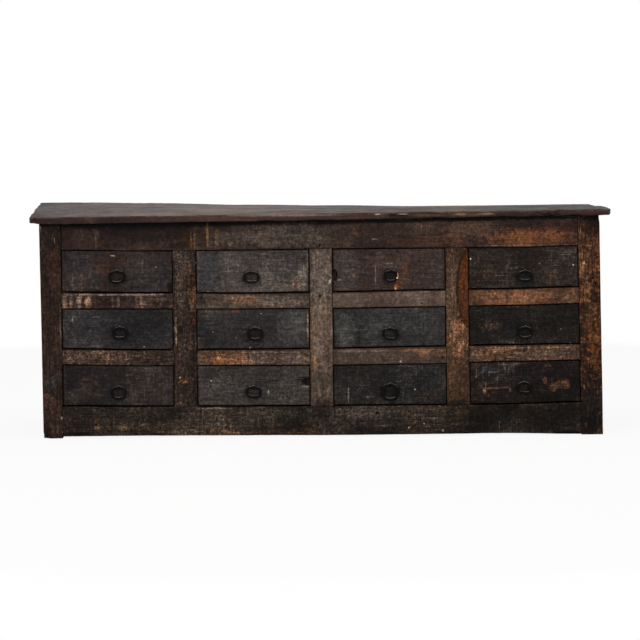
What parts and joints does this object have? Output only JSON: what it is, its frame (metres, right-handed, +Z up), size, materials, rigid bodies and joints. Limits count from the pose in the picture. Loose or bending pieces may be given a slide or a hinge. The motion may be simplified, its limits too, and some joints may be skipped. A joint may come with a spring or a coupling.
{
  "type": "chest of drawers",
  "caption": "Long low rustic chest of drawers: face-framed wooden carcass with rows of dovetailed drawers, each pulled by an iron ring in a staple.",
  "frame": {"origin": "on the floor, under the middle of the top's outline", "axes": "+X to the right as seen from the front, +Y to the back, +Z up; the drawers open towards -Y"},
  "size_m": [2.328, 0.5404, 0.9093],
  "materials": {
    "front_wood": "worn blue-black paint over brown wood, waxed by handling",
    "frame_wood": "old brown wood, worn to bare orange-brown patches",
    "top_wood": "grey-brown weathered wood with a satin sheen",
    "inner_wood": "raw aged softwood",
    "drawer_wood": "raw aged softwood",
    "iron": "black forged iron, burnished where fingers touch"
  },
  "bodies": {
    "carcass": {"top_board_front": "top_wood", "top_board_back": "top_wood", "front_post_left": "frame_wood", "front_post_right": "frame_wood", "top_rail": "frame_wood", "bottom_rail": "frame_wood", "divider_1": "frame_wood", "divider_2": "frame_wood", "divider_3": "frame_wood", "drawer_rail_upper_1": "frame_wood", "drawer_rail_upper_2": "frame_wood", "drawer_rail_upper_3": "frame_wood", "drawer_rail_upper_4": "frame_wood", "drawer_rail_lower_1": "frame_wood", "drawer_rail_lower_2": "frame_wood", "drawer_rail_lower_3": "frame_wood", "drawer_rail_lower_4": "frame_wood", "end_frame_left": "inner_wood", "end_frame_right": "inner_wood", "partition_1": "inner_wood", "partition_2": "inner_wood", "partition_3": "inner_wood", "back_planks_lower": "inner_wood", "back_planks_upper": "inner_wood"},
    "drawer_r1_c1": {"drawer_front_r1_c1": "front_wood", "drawer_box_r1_c1": "drawer_wood"},
    "ring_r1_c1": {"ring_r1_c1": "iron"},
    "drawer_r1_c2": {"drawer_front_r1_c2": "front_wood", "drawer_box_r1_c2": "drawer_wood"},
    "ring_r1_c2": {"ring_r1_c2": "iron"},
    "drawer_r1_c3": {"drawer_front_r1_c3": "front_wood", "drawer_box_r1_c3": "drawer_wood"},
    "ring_r1_c3": {"ring_r1_c3": "iron"},
    "drawer_r1_c4": {"drawer_front_r1_c4": "front_wood", "drawer_box_r1_c4": "drawer_wood"},
    "ring_r1_c4": {"ring_r1_c4": "iron"},
    "drawer_r2_c1": {"drawer_front_r2_c1": "front_wood", "drawer_box_r2_c1": "drawer_wood"},
    "ring_r2_c1": {"ring_r2_c1": "iron"},
    "drawer_r2_c2": {"drawer_front_r2_c2": "front_wood", "drawer_box_r2_c2": "drawer_wood"},
    "ring_r2_c2": {"ring_r2_c2": "iron"},
    "drawer_r2_c3": {"drawer_front_r2_c3": "front_wood", "drawer_box_r2_c3": "drawer_wood"},
    "ring_r2_c3": {"ring_r2_c3": "iron"},
    "drawer_r2_c4": {"drawer_front_r2_c4": "front_wood", "drawer_box_r2_c4": "drawer_wood"},
    "ring_r2_c4": {"ring_r2_c4": "iron"},
    "drawer_r3_c1": {"drawer_front_r3_c1": "front_wood", "drawer_box_r3_c1": "drawer_wood"},
    "ring_r3_c1": {"ring_r3_c1": "iron"},
    "drawer_r3_c2": {"drawer_front_r3_c2": "front_wood", "drawer_box_r3_c2": "drawer_wood"},
    "ring_r3_c2": {"ring_r3_c2": "iron"},
    "drawer_r3_c3": {"drawer_front_r3_c3": "front_wood", "drawer_box_r3_c3": "drawer_wood"},
    "ring_r3_c3": {"ring_r3_c3": "iron"},
    "drawer_r3_c4": {"drawer_front_r3_c4": "front_wood", "drawer_box_r3_c4": "drawer_wood"},
    "ring_r3_c4": {"ring_r3_c4": "iron"}
  },
  "joints": [
    {"name": "drawer_r1_c1_slide", "type": "slide", "parent": "carcass", "child": "drawer_r1_c1", "axis": [0, -1, 0], "range_m": [0, 0.36]},
    {"name": "ring_r1_c1_swing", "type": "hinge", "parent": "drawer_r1_c1", "child": "ring_r1_c1", "pos_m": [-0.8215, -0.24965, 0.6797], "axis": [-1, 0, 0], "range_deg": [0, 170]},
    {"name": "drawer_r1_c2_slide", "type": "slide", "parent": "carcass", "child": "drawer_r1_c2", "axis": [0, -1, 0], "range_m": [0, 0.36]},
    {"name": "ring_r1_c2_swing", "type": "hinge", "parent": "drawer_r1_c2", "child": "ring_r1_c2", "pos_m": [-0.28034, -0.24965, 0.6712], "axis": [-1, 0, 0], "range_deg": [0, 170]},
    {"name": "drawer_r1_c3_slide", "type": "slide", "parent": "carcass", "child": "drawer_r1_c3", "axis": [0, -1, 0], "range_m": [0, 0.36]},
    {"name": "ring_r1_c3_swing", "type": "hinge", "parent": "drawer_r1_c3", "child": "ring_r1_c3", "pos_m": [0.28214, -0.24965, 0.6729], "axis": [-1, 0, 0], "range_deg": [0, 170]},
    {"name": "drawer_r1_c4_slide", "type": "slide", "parent": "carcass", "child": "drawer_r1_c4", "axis": [0, -1, 0], "range_m": [0, 0.36]},
    {"name": "ring_r1_c4_swing", "type": "hinge", "parent": "drawer_r1_c4", "child": "ring_r1_c4", "pos_m": [0.8215, -0.24965, 0.6678], "axis": [-1, 0, 0], "range_deg": [0, 170]},
    {"name": "drawer_r2_c1_slide", "type": "slide", "parent": "carcass", "child": "drawer_r2_c1", "axis": [0, -1, 0], "range_m": [0, 0.36]},
    {"name": "ring_r2_c1_swing", "type": "hinge", "parent": "drawer_r2_c1", "child": "ring_r2_c1", "pos_m": [-0.81252, -0.24965, 0.45098], "axis": [-1, 0, 0], "range_deg": [0, 170]},
    {"name": "drawer_r2_c2_slide", "type": "slide", "parent": "carcass", "child": "drawer_r2_c2", "axis": [0, -1, 0], "range_m": [0, 0.36]},
    {"name": "ring_r2_c2_swing", "type": "hinge", "parent": "drawer_r2_c2", "child": "ring_r2_c2", "pos_m": [-0.26658, -0.24965, 0.4445], "axis": [-1, 0, 0], "range_deg": [0, 170]},
    {"name": "drawer_r2_c3_slide", "type": "slide", "parent": "carcass", "child": "drawer_r2_c3", "axis": [0, -1, 0], "range_m": [0, 0.36]},
    {"name": "ring_r2_c3_swing", "type": "hinge", "parent": "drawer_r2_c3", "child": "ring_r2_c3", "pos_m": [0.27755, -0.24965, 0.43964], "axis": [-1, 0, 0], "range_deg": [0, 170]},
    {"name": "drawer_r2_c4_slide", "type": "slide", "parent": "carcass", "child": "drawer_r2_c4", "axis": [0, -1, 0], "range_m": [0, 0.36]},
    {"name": "ring_r2_c4_swing", "type": "hinge", "parent": "drawer_r2_c4", "child": "ring_r2_c4", "pos_m": [0.82374, -0.24965, 0.44045], "axis": [-1, 0, 0], "range_deg": [0, 170]},
    {"name": "drawer_r3_c1_slide", "type": "slide", "parent": "carcass", "child": "drawer_r3_c1", "axis": [0, -1, 0], "range_m": [0, 0.36]},
    {"name": "ring_r3_c1_swing", "type": "hinge", "parent": "drawer_r3_c1", "child": "ring_r3_c1", "pos_m": [-0.8215, -0.24965, 0.20859], "axis": [-1, 0, 0], "range_deg": [0, 170]},
    {"name": "drawer_r3_c2_slide", "type": "slide", "parent": "carcass", "child": "drawer_r3_c2", "axis": [0, -1, 0], "range_m": [0, 0.36]},
    {"name": "ring_r3_c2_swing", "type": "hinge", "parent": "drawer_r3_c2", "child": "ring_r3_c2", "pos_m": [-0.27575, -0.24965, 0.20609], "axis": [-1, 0, 0], "range_deg": [0, 170]},
    {"name": "drawer_r3_c3_slide", "type": "slide", "parent": "carcass", "child": "drawer_r3_c3", "axis": [0, -1, 0], "range_m": [0, 0.36]},
    {"name": "ring_r3_c3_swing", "type": "hinge", "parent": "drawer_r3_c3", "child": "ring_r3_c3", "pos_m": [0.27755, -0.24965, 0.21108], "axis": [-1, 0, 0], "range_deg": [0, 170]},
    {"name": "drawer_r3_c4_slide", "type": "slide", "parent": "carcass", "child": "drawer_r3_c4", "axis": [0, -1, 0], "range_m": [0, 0.36]},
    {"name": "ring_r3_c4_swing", "type": "hinge", "parent": "drawer_r3_c4", "child": "ring_r3_c4", "pos_m": [0.81925, -0.24965, 0.21525], "axis": [-1, 0, 0], "range_deg": [0, 170]}
  ]
}
